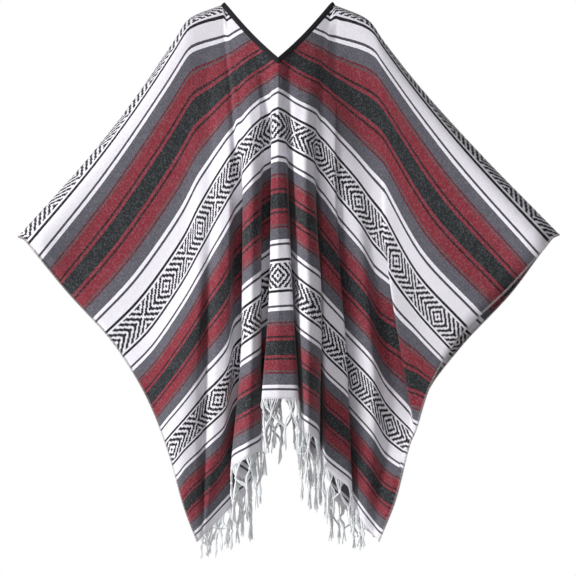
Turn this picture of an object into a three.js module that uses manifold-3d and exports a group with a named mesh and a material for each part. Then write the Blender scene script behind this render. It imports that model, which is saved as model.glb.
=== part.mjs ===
// A Mexican serape poncho as it hangs on a wearer: one length of striped cloth over the shoulders
// and arms, a lengthwise slit for the head bound in black tape, and knotted fringe at both ends.
// Millimetres, +Z up, the front faces -Y. The origin lies on the shoulder line at the neck.
import * as THREE from "three";
import Module from "manifold-3d";

const wasm = await Module();
wasm.setup();     // the booleans that cut one piece clear of another

// ---- the cut of the cloth -------------------------------------------------------------------
const HALF_LENGTH = 867;       // shoulder line to the end of the weave
const SLIT = 180;              // the neck slit, each way from the shoulder line
const CLOTH = 2;               // thickness of the weave
const SEAM_GAP = 0.3;          // pieces that touch stay this far apart
const TAPE_WIDTH = 8;
const TAPE_THICKNESS = 3;
const FRINGE_REACH = 105;
const FRINGE_THICKNESS = 3;
const SLIT_SAG = 6;            // how far the middle of the slit's edge sags below a straight line
const WOVEN_RED = 0x8a3440;
const TAPE_BLACK = 0x15151a;
const FRINGE_WHITE = 0xe6e3e2;

// How the cloth rounds over the arm, as shares of the arm's half width: down the cloth from the
// shoulder line, out from the arm's middle, and the drop.
const ARM_HALF_WIDTH = 34;
const ARM_BEND = [
  { down: 0.5, out: 0.46, drop: 0.12 },
  { down: 1.4, out: 1, drop: 0.8 },
];
// Beside the neck it rounds by this share, to run on smoothly from the edge of the slit, and in
// full from this far along the shoulder line.
const NECK_ROUNDING = 0.45;
const FULL_ROUNDING_AT = 72;

// ---- how finely the faces are cut ------------------------------------------------------------
const STEPS_DOWN = 12;
const STEPS_PER_FOLD = 2;

// The shoulder line, from the neck along the arm to the side edge: u is the distance in the cloth.
const SHOULDER_LINE = {
  left: [
    { u: 0, x: -112, y: 0, z: 4 },
    { u: 72, x: -178, y: -3, z: -24 },
    { u: 128, x: -208, y: -8, z: -68 },
    { u: 270, x: -288, y: -24, z: -186 },
    { u: 418, x: -378, y: -48, z: -302 },
    { u: 635, x: -520, y: -85, z: -462 },
  ],
  right: [
    { u: 0, x: 112, y: 0, z: 4 },
    { u: 75, x: 180, y: -4, z: -26 },
    { u: 130, x: 211, y: -10, z: -68 },
    { u: 250, x: 278, y: -32, z: -154 },
    { u: 425, x: 388, y: -78, z: -278 },
    { u: 680, x: 562, y: -150, z: -458 },
  ],
};
const SLIT_END = {
  front: { x: 0, y: -80, z: -112 },
  back: { x: 0, y: 74, z: -118 },
};

// One row for each fold, from the middle of the cloth to its side edge. top is where the fold
// starts: minus the distance down the slit, or plus the distance along the shoulder line. at
// holds stations down the fold: v from the shoulder line, then the place x, y, z.
const FRONT_LEFT = [
  { fold: "middle", top: -180, at: [[304, 0, -118, -237], [607, 0, -162, -539], [867, 0, -198, -785]] },
  { fold: "pleat edge", top: -168, at: [[304, -12, -112, -243],
    [607, -16, -150, -542], [867, -32, -188, -786]] },
  { fold: "groove", top: -150, at: [[304, -14, -98, -247], [607, -8, -114, -552], [867, 6, -126, -800]] },
  { fold: "groove back", top: -130, at: [[304, -28, -97, -255],
    [607, -46, -112, -585], [867, -52, -118, -846]] },
  { fold: "tube edge", top: -100, at: [[304, -34, -110, -258],
    [607, -34, -138, -610], [867, -34, -158, -882]] },
  { fold: "tube crest", top: -62, at: [[304, -52, -122, -276],
    [607, -52, -170, -627], [867, -62, -206, -903]] },
  { fold: "tube edge", top: -25, at: [[304, -70, -114, -299],
    [607, -72, -140, -645], [867, -94, -168, -926]] },
  { fold: "deep valley", top: -10, at: [[304, -76, -104, -308],
    [607, -50, -98, -676], [867, -54, -92, -962]] },
  { fold: "shaded face", top: 2, at: [[304, -86, -106, -325],
    [607, -90, -120, -722], [867, -90, -140, -998]] },
  { fold: "second crest", top: 8, at: [[304, -98, -118, -343],
    [607, -103, -152, -766], [867, -142, -170, -1050]] },
  { fold: "second face", top: 18, at: [[304, -115, -118, -372],
    [607, -127, -158, -794], [867, -147, -175, -1055]] },
  { fold: "soft valley", top: 32, at: [[304, -134, -107, -405],
    [607, -150, -142, -816], [867, -151, -177, -1060]] },
  { fold: "soft crest", top: 72, at: [[304, -158, -112, -449],
    [607, -164, -164, -832], [867, -154, -180, -1064]] },
  { fold: "sleeve", top: 190, at: [[304, -184, -108, -500],
    [607, -190, -172, -861], [867, -157, -182, -1067]] },
  { fold: "sleeve", top: 420, at: [[304, -269, -108, -622],
    [607, -208, -170, -882], [867, -160, -183, -1069]] },
  { fold: "side edge", top: 635, at: [[152, -424, -100, -570], [304, -327, -112, -678],
    [455, -260, -140, -788], [607, -218, -160, -894], [759, -187, -174, -1004], [867, -162, -184, -1070]] },
];
const FRONT_RIGHT = [
  { fold: "middle", top: -180, at: [[304, 0, -118, -237], [607, 0, -162, -539], [867, 0, -198, -785]] },
  { fold: "pleat edge", top: -168, at: [[304, 11, -112, -241],
    [607, 26, -152, -538], [867, 38, -188, -786]] },
  { fold: "groove", top: -148, at: [[304, 20, -98, -247], [607, 28, -112, -556], [867, 46, -126, -808]] },
  { fold: "fold edge", top: -118, at: [[304, 34, -112, -257],
    [607, 36, -136, -571], [867, 48, -156, -840]] },
  { fold: "fold crest", top: -80, at: [[304, 52, -124, -267],
    [607, 60, -176, -592], [867, 60, -206, -852]] },
  { fold: "fold edge", top: -42, at: [[304, 69, -114, -277],
    [607, 87, -142, -616], [867, 80, -166, -870]] },
  { fold: "deep valley", top: -22, at: [[304, 76, -101, -284],
    [607, 82, -102, -636], [867, 86, -96, -896]] },
  { fold: "shaded crest", top: -6, at: [[304, 88, -108, -300],
    [607, 95, -140, -662], [867, 96, -158, -924]] },
  { fold: "shaded edge", top: 6, at: [[304, 113, -112, -332],
    [607, 137, -130, -708], [867, 148, -146, -970]] },
  { fold: "valley", top: 14, at: [[304, 118, -104, -340], [607, 134, -106, -722], [867, 146, -118, -986]] },
  { fold: "wide face", top: 32, at: [[304, 161, -108, -392],
    [607, 190, -146, -786], [867, 172, -158, -1034]] },
  { fold: "soft valley", top: 60, at: [[304, 185, -106, -428],
    [607, 216, -126, -830], [867, 190, -160, -1056]] },
  { fold: "under the lap", top: 92, at: [[304, 212, -110, -464], [455, 262, -116, -690],
    [560, 266, -128, -836], [607, 258, -136, -868], [867, 198, -170, -1066]] },
  { fold: "lap edge", top: 120, at: [[304, 217, -122, -476], [455, 254, -158, -738],
    [560, 272, -146, -846], [607, 261, -142, -870], [867, 200, -171, -1068]] },
  { fold: "sleeve", top: 400, at: [[304, 274, -136, -570], [455, 280, -160, -752],
    [560, 273, -147, -848], [607, 263, -143, -872], [867, 201, -172, -1069]] },
  { fold: "side edge", top: 680, at: [[152, 466, -158, -560], [304, 360, -158, -666],
    [455, 302, -162, -766], [560, 275, -148, -850], [607, 265, -144, -873], [759, 235, -160, -988],
    [867, 202, -173, -1070]] },
];
const BACK_LEFT = [
  { fold: "middle", top: -180, at: [[304, 0, 112, -240], [607, 0, 142, -540], [867, 0, 164, -784]] },
  { fold: "pleat edge", top: -162, at: [[304, -26, 106, -247],
    [607, -36, 132, -550], [867, -34, 152, -794]] },
  { fold: "groove", top: -140, at: [[304, -44, 93, -262], [607, -32, 94, -582], [867, -52, 90, -836]] },
  { fold: "fold edge", top: -104, at: [[304, -58, 104, -280],
    [607, -50, 116, -622], [867, -50, 116, -886]] },
  { fold: "fold crest", top: -60, at: [[304, -80, 118, -305],
    [607, -80, 152, -655], [867, -72, 174, -925]] },
  { fold: "fold edge", top: -24, at: [[304, -100, 110, -330],
    [607, -108, 128, -694], [867, -102, 140, -955]] },
  { fold: "deep valley", top: -6, at: [[304, -114, 97, -356],
    [607, -104, 91, -735], [867, -92, 86, -990]] },
  { fold: "shaded face", top: 10, at: [[304, -130, 101, -385],
    [607, -128, 112, -772], [867, -116, 118, -1020]] },
  { fold: "second crest", top: 38, at: [[304, -148, 112, -425],
    [607, -150, 140, -810], [867, -136, 152, -1042]] },
  { fold: "soft valley", top: 90, at: [[304, -172, 102, -470],
    [607, -174, 122, -842], [867, -147, 142, -1054]] },
  { fold: "sleeve", top: 240, at: [[304, -212, 84, -535],
    [607, -194, 128, -866], [867, -153, 141, -1061]] },
  { fold: "sleeve", top: 430, at: [[304, -266, 52, -616],
    [607, -206, 118, -880], [867, -156, 140, -1065]] },
  { fold: "side edge", top: 635, at: [[152, -420, -30, -564], [304, -318, 26, -672],
    [455, -254, 72, -782], [607, -214, 104, -888], [759, -183, 128, -998], [867, -158, 140, -1066]] },
];
const BACK_RIGHT = [
  { fold: "middle", top: -180, at: [[304, 0, 112, -240], [607, 0, 142, -540], [867, 0, 164, -784]] },
  { fold: "pleat edge", top: -166, at: [[304, 20, 107, -245], [607, 32, 134, -546], [867, 36, 154, -790]] },
  { fold: "groove", top: -142, at: [[304, 36, 94, -256], [607, 26, 96, -574], [867, 54, 94, -826]] },
  { fold: "fold edge", top: -112, at: [[304, 50, 105, -270], [607, 46, 116, -610], [867, 52, 116, -870]] },
  { fold: "fold crest", top: -66, at: [[304, 74, 120, -294], [607, 76, 156, -640], [867, 74, 178, -906]] },
  { fold: "fold edge", top: -30, at: [[304, 98, 110, -322], [607, 112, 126, -682], [867, 112, 138, -944]] },
  { fold: "deep valley", top: -8, at: [[304, 110, 98, -342], [607, 108, 90, -716], [867, 104, 82, -976]] },
  { fold: "shaded face", top: 12, at: [[304, 132, 101, -374],
    [607, 142, 110, -760], [867, 134, 116, -1008]] },
  { fold: "second crest", top: 44, at: [[304, 158, 112, -418],
    [607, 172, 142, -800], [867, 160, 150, -1034]] },
  { fold: "soft valley", top: 96, at: [[304, 190, 98, -466],
    [607, 206, 118, -836], [867, 178, 138, -1052]] },
  { fold: "sleeve", top: 260, at: [[304, 236, 72, -540], [607, 236, 112, -858], [867, 188, 136, -1060]] },
  { fold: "sleeve", top: 460, at: [[304, 304, 30, -624], [607, 250, 100, -872], [867, 192, 134, -1064]] },
  { fold: "side edge", top: 680, at: [[152, 468, -86, -572], [304, 368, -26, -680],
    [455, 300, 34, -772], [607, 256, 86, -880], [759, 222, 118, -992], [867, 194, 134, -1066]] },
];
const FOLDS = {
  front: { left: FRONT_LEFT, right: FRONT_RIGHT },
  back: { left: BACK_LEFT, right: BACK_RIGHT },
};

// A smooth curve through (knot, value) pairs that never swings past them.
function slopesAt(knots, values) {
  const last = knots.length - 1;
  const rise = [];
  for (let i = 0; i < last; i += 1) {
    rise.push((values[i + 1] - values[i]) / (knots[i + 1] - knots[i]));
  }
  const slopes = [rise[0]];
  for (let i = 1; i < last; i += 1) {
    const turns = rise[i - 1] * rise[i] <= 0;
    slopes.push(turns ? 0 : (2 * rise[i - 1] * rise[i]) / (rise[i - 1] + rise[i]));
  }
  slopes.push(rise[last - 1]);
  return slopes;
}

function smoothCurve(knots, values) {
  const slopes = slopesAt(knots, values);
  const last = knots.length - 1;
  return (at) => {
    let i = 0;
    while (i < last - 1 && at > knots[i + 1]) {
      i += 1;
    }
    const width = knots[i + 1] - knots[i];
    const t = (at - knots[i]) / width;
    const t2 = t * t;
    const t3 = t2 * t;
    return (2 * t3 - 3 * t2 + 1) * values[i] + (t3 - 2 * t2 + t) * width * slopes[i]
      + (3 * t2 - 2 * t3) * values[i + 1] + (t3 - t2) * width * slopes[i + 1];
  };
}

function pointCurve(knots, points) {
  const curves = [0, 1, 2].map((axis) => smoothCurve(knots, points.map((point) => point[axis])));
  return (at) => new THREE.Vector3(curves[0](at), curves[1](at), curves[2](at));
}

function shoulderPoint(side) {
  const line = SHOULDER_LINE[side];
  return pointCurve(line.map((row) => row.u), line.map((row) => [row.x, row.y, row.z]));
}

// A point on the edge of the slit, v down from the shoulder line.
function slitPoint(face, side, v) {
  const neck = shoulderPoint(side)(0);
  const end = SLIT_END[face];
  const share = v / SLIT;
  const point = new THREE.Vector3(end.x, end.y, end.z).sub(neck).multiplyScalar(share).add(neck);
  point.z -= Math.sin(share * Math.PI) * SLIT_SAG;
  return point;
}

// The fold's own curve from its top to the end of the cloth, with t running 0 to 1 down it.
function foldCurve(face, side, row) {
  const out = face === "front" ? -1 : 1;
  const knots = [];
  const points = [];
  if (row.top < 0) {
    knots.push(-row.top);
    points.push(slitPoint(face, side, -row.top).toArray());
  } else {
    const top = shoulderPoint(side)(row.top);
    const [firstV, firstX] = row.at[0];
    const spread = (firstX - top.x) / firstV;
    const along = Math.min(1, row.top / FULL_ROUNDING_AT);
    const rounding = NECK_ROUNDING + (1 - NECK_ROUNDING) * along;
    knots.push(0);
    points.push([top.x, top.y + (out * SEAM_GAP) / 2, top.z]);
    for (const bend of ARM_BEND) {
      const v = bend.down * ARM_HALF_WIDTH;
      knots.push(v);
      points.push([
        top.x + spread * v,
        top.y + out * rounding * bend.out * ARM_HALF_WIDTH,
        top.z - bend.drop * ARM_HALF_WIDTH,
      ]);
    }
  }
  for (const [v, x, y, z] of row.at) {
    knots.push(v);
    points.push([x, y, z]);
  }
  const curve = pointCurve(knots, points);
  return (t) => curve(knots[0] + t * (HALF_LENGTH - knots[0]));
}

// Points of one whole panel: columns run side to side, rows run from its top edge to the hem.
function panelGrid(face) {
  const columns = [];
  for (const side of ["left", "right"]) {
    const folds = FOLDS[face][side].map((row) => foldCurve(face, side, row));
    const steps = (folds.length - 1) * STEPS_PER_FOLD;
    const half = [];
    for (let step = 0; step <= steps; step += 1) {
      half.push([]);
    }
    for (let down = 0; down <= STEPS_DOWN; down += 1) {
      const t = down / STEPS_DOWN;
      const points = folds.map((fold) => fold(t).toArray());
      const across = pointCurve(points.map((point, index) => index), points);
      for (let step = 0; step <= steps; step += 1) {
        half[step].push(across(step / STEPS_PER_FOLD));
      }
    }
    if (side === "left") {
      columns.push(...half.reverse());
    } else {
      columns.push(...half.slice(1));
    }
  }
  return columns;
}

// The way the cloth faces at each point of a grid.
function gridNormals(columns, outward) {
  const lastColumn = columns.length - 1;
  const lastRow = columns[0].length - 1;
  return columns.map((column, c) => column.map((point, r) => {
    const across = columns[Math.min(c + 1, lastColumn)][r].clone().sub(columns[Math.max(c - 1, 0)][r]);
    const down = column[Math.min(r + 1, lastRow)].clone().sub(column[Math.max(r - 1, 0)]);
    return across.cross(down).multiplyScalar(outward).normalize();
  }));
}

// A closed wall between two skins of points.
function wallGeometry(outer, inner, facesOut) {
  const lastColumn = outer.length - 1;
  const lastRow = outer[0].length - 1;
  const rowCount = lastRow + 1;
  const positions = [];
  for (const skin of [outer, inner]) {
    for (const column of skin) {
      for (const point of column) {
        positions.push(point.x, point.y, point.z);
      }
    }
  }
  const innerStart = outer.length * rowCount;
  const triangles = [];
  const quad = (a, b, c, d) => {
    if (facesOut) {
      triangles.push(a, b, c, a, c, d);
    } else {
      triangles.push(a, c, b, a, d, c);
    }
  };
  for (let c = 0; c < lastColumn; c += 1) {
    for (let r = 0; r < lastRow; r += 1) {
      const here = c * rowCount + r;
      const next = here + rowCount;
      quad(here, here + 1, next + 1, next);
      quad(innerStart + here, innerStart + next, innerStart + next + 1, innerStart + here + 1);
    }
    const top = c * rowCount;
    const hem = top + lastRow;
    quad(top, top + rowCount, innerStart + top + rowCount, innerStart + top);
    quad(hem + rowCount, hem, innerStart + hem, innerStart + hem + rowCount);
  }
  const farColumn = lastColumn * rowCount;
  for (let r = 0; r < lastRow; r += 1) {
    quad(r + 1, r, innerStart + r, innerStart + r + 1);
    quad(farColumn + r, farColumn + r + 1, innerStart + farColumn + r + 1, innerStart + farColumn + r);
  }
  const geometry = new THREE.BufferGeometry();
  geometry.setAttribute("position", new THREE.Float32BufferAttribute(positions, 3));
  geometry.setIndex(triangles);
  return geometry;
}

// Both skins of a panel, half the cloth's thickness either way from its middle.
function panelSkins(face, columns) {
  const outward = face === "front" ? -1 : 1;
  const normals = gridNormals(columns, outward);
  const neck = SHOULDER_LINE.right[0].x;
  const topAcross = new THREE.Vector3();
  columns.forEach((column, c) => {
    if (Math.abs(column[0].x) > neck) {
      const before = columns[Math.max(c - 1, 0)][0];
      const after = columns[Math.min(c + 1, columns.length - 1)][0];
      topAcross.subVectors(after, before).setY(0).normalize();
      normals[c][0].set(-topAcross.z, 0, topAcross.x);
    }
  });
  const pastTop = columns.map((column) => {
    const lift = column[0].clone().sub(column[1]).setLength(SEAM_GAP / 2);
    return [column[0].clone().add(lift), ...column.slice(1)];
  });
  const skin = (grid, distance) => grid.map((column, c) => column.map((point, r) => (
    point.clone().addScaledVector(normals[c][r], distance))));
  const half = CLOTH / 2;
  const clear = half + SEAM_GAP;
  return {
    wall: wallGeometry(skin(columns, half), skin(columns, -half), outward < 0),
    clearWall: wallGeometry(skin(pastTop, clear), skin(pastTop, -clear), outward < 0),
    normals,
  };
}

function solidOf(geometry) {
  return new wasm.Manifold(new wasm.Mesh({
    numProp: 3,
    vertProperties: new Float32Array(geometry.attributes.position.array),
    triVerts: new Uint32Array(geometry.index.array),
  }));
}

// What is left of a piece once another is taken out of it: its largest body.
function cutClear(geometry, cutter) {
  const bodies = solidOf(geometry).subtract(solidOf(cutter)).decompose();
  bodies.sort((a, b) => b.volume() - a.volume());
  const mesh = bodies[0].getMesh();
  const result = new THREE.BufferGeometry();
  result.setAttribute("position", new THREE.Float32BufferAttribute(Array.from(mesh.vertProperties), 3));
  result.setIndex(Array.from(mesh.triVerts));
  return result;
}

// The reach of the cords below the hem: they leave in line with the cloth, then hang straight.
function fringeGeometry(face, columns, normals) {
  const last = columns[0].length - 1;
  const hem = columns.map((column) => {
    const fall = column[last].clone().sub(column[last - 1]).normalize();
    return column[last].clone().addScaledVector(fall, SEAM_GAP);
  });
  const level = normals.map((column) => column[last].clone().setZ(0).normalize());
  const skin = (sign) => hem.map((point, c) => [
    point.clone().addScaledVector(normals[c][last], (sign * CLOTH) / 2),
    point.clone().addScaledVector(level[c], (sign * FRINGE_THICKNESS) / 2).setZ(point.z - FRINGE_REACH / 2),
    point.clone().addScaledVector(level[c], (sign * FRINGE_THICKNESS) / 2).setZ(point.z - FRINGE_REACH),
  ]);
  return wallGeometry(skin(1), skin(-1), face === "front");
}

// The tape round the slit: a flat section carried round the edges of both panels.
function tapeGeometry(frontColumns, backColumns) {
  const neck = SHOULDER_LINE.right[0].x;
  const onSlit = (columns) => columns.filter((column) => Math.abs(column[0].x) < neck);
  const loop = [...onSlit(frontColumns), ...onSlit(backColumns).reverse()];
  const count = loop.length;
  const mitre = Math.hypot(neck, SLIT_END.front.z) / neck;
  const positions = [];
  loop.forEach((column, i) => {
    const before = loop[(i + count - 1) % count][0];
    const after = loop[(i + 1) % count][0];
    const along = after.clone().sub(before).normalize();
    const down = column[1].clone().sub(column[0]);
    const inward = down.addScaledVector(along, -down.dot(along)).normalize().negate();
    const normal = along.clone().cross(inward);
    const stretch = column[0].x === 0 ? mitre : 1;
    for (const [reach, side] of [[0, -1], [1, -1], [1, 1], [0, 1]]) {
      const distance = (SEAM_GAP + reach * TAPE_WIDTH) * stretch;
      const corner = column[0].clone().addScaledVector(inward, distance);
      corner.addScaledVector(normal, (side * TAPE_THICKNESS) / 2);
      positions.push(corner.x, corner.y, corner.z);
    }
  });
  const triangles = [];
  for (let i = 0; i < count; i += 1) {
    const here = i * 4;
    const next = ((i + 1) % count) * 4;
    for (let k = 0; k < 4; k += 1) {
      const k2 = (k + 1) % 4;
      triangles.push(here + k, here + k2, next + k2, here + k, next + k2, next + k);
    }
  }
  const geometry = new THREE.BufferGeometry();
  geometry.setAttribute("position", new THREE.Float32BufferAttribute(positions, 3));
  geometry.setIndex(triangles);
  return geometry;
}

const serape = new THREE.Group();

function addPiece(name, geometry, color, roughness) {
  geometry.computeVertexNormals();
  const material = new THREE.MeshStandardMaterial({ color, roughness, metalness: 0 });
  const mesh = new THREE.Mesh(geometry, material);
  mesh.name = name;
  serape.add(mesh);
}

const frontColumns = panelGrid("front");
const backColumns = panelGrid("back");
const front = panelSkins("front", frontColumns);
const back = panelSkins("back", backColumns);
const frontFringe = fringeGeometry("front", frontColumns, front.normals);
const backFringe = fringeGeometry("back", backColumns, back.normals);
addPiece("front_panel", front.wall, WOVEN_RED, 0.9);
addPiece("back_panel", cutClear(back.wall, front.clearWall), WOVEN_RED, 0.9);
addPiece("front_fringe", cutClear(frontFringe, front.clearWall), FRINGE_WHITE, 0.85);
addPiece("back_fringe", cutClear(backFringe, back.clearWall), FRINGE_WHITE, 0.85);
const tape = cutClear(tapeGeometry(frontColumns, backColumns), front.clearWall);
addPiece("neck_binding", cutClear(tape, back.clearWall), TAPE_BLACK, 0.8);

export default serape;
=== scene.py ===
import math

import bpy
import numpy as np
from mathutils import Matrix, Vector


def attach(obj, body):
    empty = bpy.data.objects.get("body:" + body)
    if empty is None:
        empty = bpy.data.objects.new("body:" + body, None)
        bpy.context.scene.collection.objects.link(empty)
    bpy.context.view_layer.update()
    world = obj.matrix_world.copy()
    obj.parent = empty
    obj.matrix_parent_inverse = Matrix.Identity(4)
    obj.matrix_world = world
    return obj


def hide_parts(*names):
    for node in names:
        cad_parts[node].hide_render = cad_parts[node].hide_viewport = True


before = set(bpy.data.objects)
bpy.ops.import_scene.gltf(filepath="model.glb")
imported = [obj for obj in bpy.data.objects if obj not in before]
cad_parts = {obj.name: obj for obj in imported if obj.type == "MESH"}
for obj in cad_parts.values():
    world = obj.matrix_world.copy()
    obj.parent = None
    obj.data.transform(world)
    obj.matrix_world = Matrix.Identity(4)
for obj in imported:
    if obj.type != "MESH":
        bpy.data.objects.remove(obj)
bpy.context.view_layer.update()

# ---- the room --------------------------------------------------------------------------------
# The serape hangs as on a standing wearer, over a plain pale floor, in front of a white studio.
# A long lens a long way off keeps the sleeves and the middle at one scale.
LENS_DISTANCE = 30.0
VIEW_WIDTH = 1.152
VIEW_CENTRE = (0.020, -0.564)
SENSOR = 36.0
camera_data = bpy.data.cameras.new("camera")
camera_data.sensor_width = SENSOR
camera_data.lens = SENSOR * LENS_DISTANCE / VIEW_WIDTH
camera_data.clip_end = 200.0
camera = bpy.data.objects.new("camera", camera_data)
camera.location = (VIEW_CENTRE[0], -LENS_DISTANCE - 0.12, VIEW_CENTRE[1])
camera.rotation_euler = (math.radians(90), 0, 0)
bpy.context.scene.collection.objects.link(camera)
bpy.context.scene.camera = camera
bpy.context.scene.view_settings.view_transform = "Standard"

FLOOR_DROP = 1.46           # shoulders above the floor
FLOOR_RADIUS = 3.0
FLOOR_SPECKLE = 0.12        # how far the darker speckle shows in the floor
bpy.ops.mesh.primitive_circle_add(vertices=96, radius=FLOOR_RADIUS, fill_type="NGON",
                                  location=(0, 0, -FLOOR_DROP))
floor = bpy.context.object
floor.name = "floor"

# name, place, aim, size and power of each soft light
LIGHTS = [
    ("key", (-3.4, -2.0, 0.7), (0, 0, -0.5), 1.1, 190.0),
    ("front fill", (0.4, -4.0, 0.3), (0, 0, -0.6), 2.4, 28.0),
    ("back fill", (1.5, 3.6, 0.6), (0, 0, -0.6), 2.4, 90.0),
]
for name, place, aim, size, power in LIGHTS:
    light_data = bpy.data.lights.new(name, "AREA")
    light_data.shape = "DISK"
    light_data.size = size
    light_data.energy = power
    light = bpy.data.objects.new(name, light_data)
    light.location = place
    light.rotation_euler = (Vector(aim) - Vector(place)).to_track_quat("-Z", "Y").to_euler()
    bpy.context.scene.collection.objects.link(light)


class Wire:
    """A node socket that Python arithmetic can be written on."""

    def __init__(self, tree, socket):
        self.tree = tree
        self.socket = socket

    def node(self, kind, settings=None, **sockets):
        made = self.tree.nodes.new(kind)
        for key, value in (settings or {}).items():
            setattr(made, key, value)
        for key, value in sockets.items():
            place = made.inputs[int(key[1:])] if key[1:].isdigit() else made.inputs[key.replace("_", " ")]
            if isinstance(value, Wire):
                self.tree.links.new(value.socket, place)
            else:
                place.default_value = value
        return made

    def maths(self, operation, *values):
        places = {f"i{i}": value for i, value in enumerate(values)}
        made = self.node("ShaderNodeMath", {"operation": operation}, **places)
        return Wire(self.tree, made.outputs[0])

    def __add__(self, other):
        return self.maths("ADD", self, other)

    def __sub__(self, other):
        return self.maths("SUBTRACT", self, other)

    def __mul__(self, other):
        return self.maths("MULTIPLY", self, other)

    def __truediv__(self, other):
        return self.maths("DIVIDE", self, other)

    def __radd__(self, other):
        return self.maths("ADD", other, self)

    def __rsub__(self, other):
        return self.maths("SUBTRACT", other, self)

    def __rmul__(self, other):
        return self.maths("MULTIPLY", other, self)

    def absolute(self):
        return self.maths("ABSOLUTE", self)

    def below(self, edge):
        return self.maths("LESS_THAN", self, edge)

    def above(self, edge):
        return self.maths("GREATER_THAN", self, edge)

    def folded(self, period):
        """Distance to the nearest whole number of periods."""
        return self.maths("PINGPONG", self, period / 2)

    def stepped(self, step):
        return self.maths("SNAP", self, step)

    def wave(self, period):
        return self.maths("SINE", self * (2 * math.pi / period))

    def mixed(self, share, other):
        """This colour turned to the other one by a share."""
        made = self.node("ShaderNodeMix", {"data_type": "RGBA"})
        for index, value in ((0, share), (6, self), (7, other)):
            if isinstance(value, Wire):
                self.tree.links.new(value.socket, made.inputs[index])
            else:
                made.inputs[index].default_value = value
        return Wire(self.tree, made.outputs[2])


def colour(red, green, blue):
    """A screen colour, 0 to 255, as linear light."""
    parts = [c / 255 for c in (red, green, blue)]
    return tuple(c / 12.92 if c < 0.04045 else ((c + 0.055) / 1.055) ** 2.4 for c in parts) + (1.0,)


def new_material(name, roughness, sheen=0.0):
    """A plain cloth shader, and a wire to write its nodes with."""
    made = bpy.data.materials.new(name)
    made.use_nodes = True
    shader = made.node_tree.nodes["Principled BSDF"]
    shader.inputs["Roughness"].default_value = roughness
    shader.inputs["Specular IOR Level"].default_value = 0.2
    shader.inputs["Sheen Weight"].default_value = sheen
    shader.inputs["Sheen Roughness"].default_value = 0.5
    return made, shader, Wire(made.node_tree, None)


floor_paint, floor_shader, floor_wire = new_material("floor_paint", 0.9)
speckle = floor_wire.node("ShaderNodeTexNoise", None, Scale=40.0, Detail=4.0)
pale = floor_wire.node("ShaderNodeRGB")
pale.outputs[0].default_value = colour(236, 236, 236)
floor_colour = Wire(floor_paint.node_tree, pale.outputs[0]).mixed(
    Wire(floor_paint.node_tree, speckle.outputs[0]) * FLOOR_SPECKLE, colour(214, 214, 216))
floor_paint.node_tree.links.new(floor_colour.socket, floor_shader.inputs["Base Color"])
floor.data.materials.append(floor_paint)

# The studio is white to look at and dimmer as light, so the folds keep their shade.
AMBIENT = 0.20
world = bpy.data.worlds.new("studio")
bpy.context.scene.world = world
world.use_nodes = True
background = world.node_tree.nodes["Background"]
world_wire = Wire(world.node_tree, None)
ray = world_wire.node("ShaderNodeLightPath")
seen = Wire(world.node_tree, ray.outputs["Is Camera Ray"])
strength = seen * (1.0 - AMBIENT) + AMBIENT
world.node_tree.links.new(strength.socket, background.inputs["Strength"])
background.inputs["Color"].default_value = (1.0, 1.0, 1.0, 1.0)

# ---- the woven cloth ---------------------------------------------------------------------------
# One woven length laid over both shoulders and arms, with a lengthwise slit for the head. Half
# hangs in front and half behind, in deep folds under the neck and long slopes off the arms.
HALF_LENGTH = 0.867         # shoulder line to the end of the weave
HALF_WIDTH = {"left": 0.635, "right": 0.680}
SLIT = 0.180                # the neck slit, each way from the shoulder line
SLIT_SAG = 0.006
CLOTH = 0.0018
ARM_HALF_WIDTH = 0.034
# how the cloth rounds over the arm, as shares of its half width: down the cloth, out, drop
ARM_BEND = [(0.5, 0.46, 0.12), (1.4, 1.0, 0.8)]
# beside the neck it goes out and drops by these shares, which reach one this far along the line
NECK_OUT = 0.45
NECK_DROP = 1.6
FULL_ROUNDING_AT = 0.150
# distance along the shoulder line from the neck, then the place of that point
SHOULDER_LINE = {
    "left": [(0, -.112, 0, .004), (.072, -.178, -.003, -.024), (.128, -.208, -.008, -.068),
             (.270, -.288, -.024, -.186), (.418, -.378, -.048, -.302), (.635, -.520, -.085, -.462)],
    "right": [(0, .112, 0, .004), (.075, .180, -.004, -.026), (.130, .211, -.010, -.068),
              (.250, .278, -.032, -.154), (.425, .388, -.078, -.278), (.680, .562, -.150, -.458)],
}
SLIT_END = {"front": (0, -.080, -.112), "back": (0, .074, -.118)}

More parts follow.
